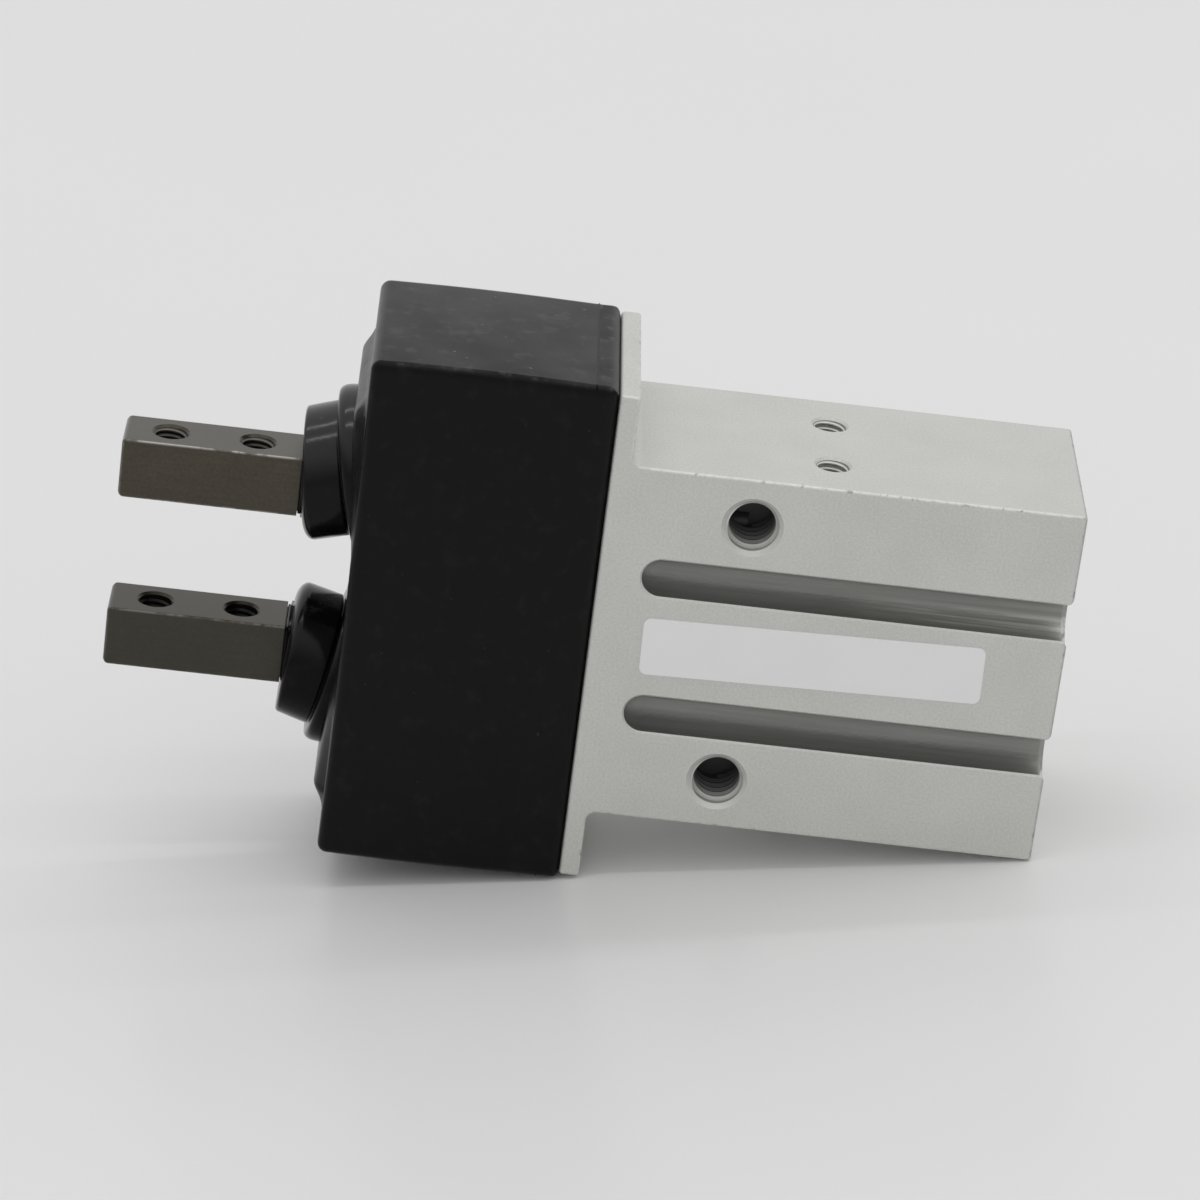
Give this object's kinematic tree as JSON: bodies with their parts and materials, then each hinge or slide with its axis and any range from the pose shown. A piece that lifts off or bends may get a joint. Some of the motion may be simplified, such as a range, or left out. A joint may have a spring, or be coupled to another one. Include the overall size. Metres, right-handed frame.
{
  "type": "pneumatic parallel gripper",
  "caption": "Air-driven parallel gripper with a rectangular cylinder body, a rubber dust cover and flat steel fingers that slide apart, with tapped holes for jaws and mounting.",
  "frame": {"origin": "centre of the rear mounting face, on the axis of the cylinder", "axes": "+X out of the rear mounting face, so the fingers point to -X; +Z along the opening of the fingers; -Y out of the face with the air ports and the sensor grooves"},
  "size_m": [0.0753, 0.0188, 0.0424],
  "materials": {
    "anodised_aluminium": "sand-blasted and clear anodised",
    "cover_rubber": "moulded, satin",
    "burnished_steel": "ground and burnished dark",
    "bright_steel": "ground",
    "bronze": "sintered",
    "seal_rubber": "smooth",
    "urethane": "smooth",
    "magnet": "sintered",
    "wear_band": "smooth",
    "label_film": "semi-gloss film, bare"
  },
  "bodies": {
    "housing": {"body": "anodised_aluminium", "dust_cover": "cover_rubber", "upper_finger_boot": "cover_rubber", "lower_finger_boot": "cover_rubber", "guide_plate_front": "bright_steel", "guide_plate_back": "bright_steel", "guide_screws": "bright_steel", "guide_dowels": "bright_steel", "rod_bush": "bronze", "rod_seal": "seal_rubber", "seal_holder": "bronze", "front_bumper": "urethane", "rear_bumper": "urethane", "end_cap": "anodised_aluminium", "end_cap_o_ring": "seal_rubber", "retaining_ring": "burnished_steel", "passage_plugs": "bright_steel", "name_label": "label_film"},
    "piston_unit": {"piston_rear_half": "anodised_aluminium", "piston_front_half": "anodised_aluminium", "piston_magnet": "magnet", "piston_seal": "seal_rubber", "wear_ring": "wear_band", "piston_rod": "bright_steel", "piston_nut": "bright_steel", "wedge_cam": "burnished_steel", "cam_pin": "bright_steel"},
    "upper_jaw": {"upper_finger": "burnished_steel"},
    "lower_jaw": {"lower_finger": "burnished_steel"}
  },
  "joints": [
    {"name": "piston_slide", "type": "slide", "parent": "housing", "child": "piston_unit", "axis": [-1, 0, 0], "range_m": [0, 0.004]},
    {"name": "upper_finger_slide", "type": "slide", "parent": "housing", "child": "upper_jaw", "axis": [0, 0, 1], "range_m": [0, 0.002], "deforming": ["upper_finger_boot"]},
    {"name": "lower_finger_slide", "type": "slide", "parent": "housing", "child": "lower_jaw", "axis": [0, 0, -1], "range_m": [0, 0.002], "deforming": ["lower_finger_boot"]}
  ],
  "couplings": [
    {"joint": "upper_finger_slide", "follows": "piston_slide", "ratio": 0.5},
    {"joint": "lower_finger_slide", "follows": "piston_slide", "ratio": 0.5}
  ]
}
